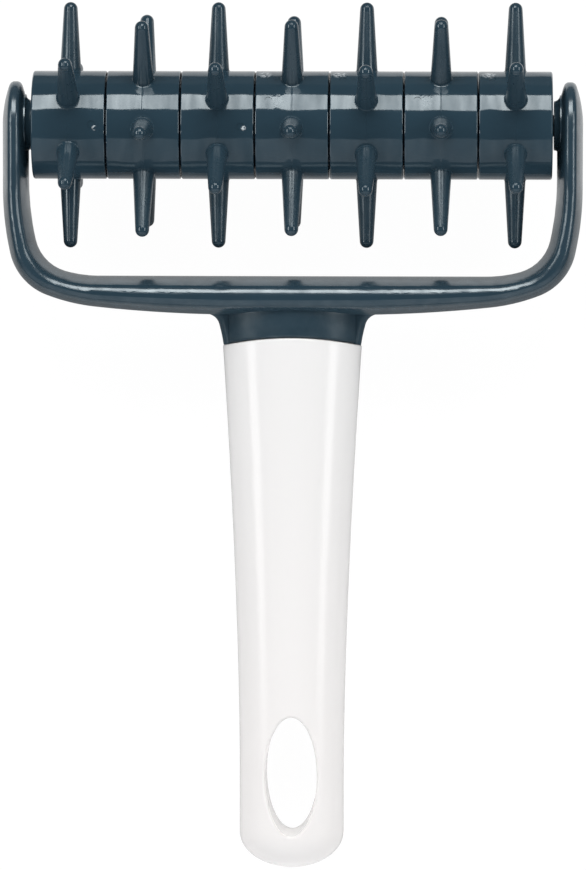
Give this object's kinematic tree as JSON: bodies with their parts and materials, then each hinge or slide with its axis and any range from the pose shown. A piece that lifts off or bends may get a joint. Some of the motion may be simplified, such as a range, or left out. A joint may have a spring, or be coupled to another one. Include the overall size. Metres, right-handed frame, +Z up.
{
  "type": "dough docker",
  "caption": "Hand-held dough docker: spiked rings turn as one roller between the arms of a moulded yoke, carried by a tapered handle with an oval hang hole.",
  "frame": {"origin": "centre of the bounding box in plan, on the table the tool lies on", "axes": "+X along the roller's axle, +Y level from the handle's end to the roller, +Z up; the tool lies on its spikes and on the end of its handle, so the handle slopes down from the roller"},
  "size_m": [0.1342, 0.1999, 0.0563],
  "materials": {
    "yoke_plastic": "glossy dark blue-grey moulding",
    "ring_plastic": "glossy dark blue-grey moulding",
    "handle_plastic": "glossy white moulding",
    "core_plastic": "plain dark moulding"
  },
  "bodies": {
    "tool_frame": {"yoke": "yoke_plastic", "handle": "handle_plastic"},
    "roller": {"roller_core": "core_plastic", "spiked_ring_1": "ring_plastic", "spiked_ring_2": "ring_plastic", "spiked_ring_3": "ring_plastic", "spiked_ring_4": "ring_plastic", "spiked_ring_5": "ring_plastic", "spiked_ring_6": "ring_plastic", "spiked_ring_7": "ring_plastic"}
  },
  "joints": [
    {"name": "roller_spin", "type": "hinge", "parent": "tool_frame", "child": "roller", "pos_m": [0, 0.07165, 0.02815], "axis": [1, 0, 0], "continuous": true}
  ]
}
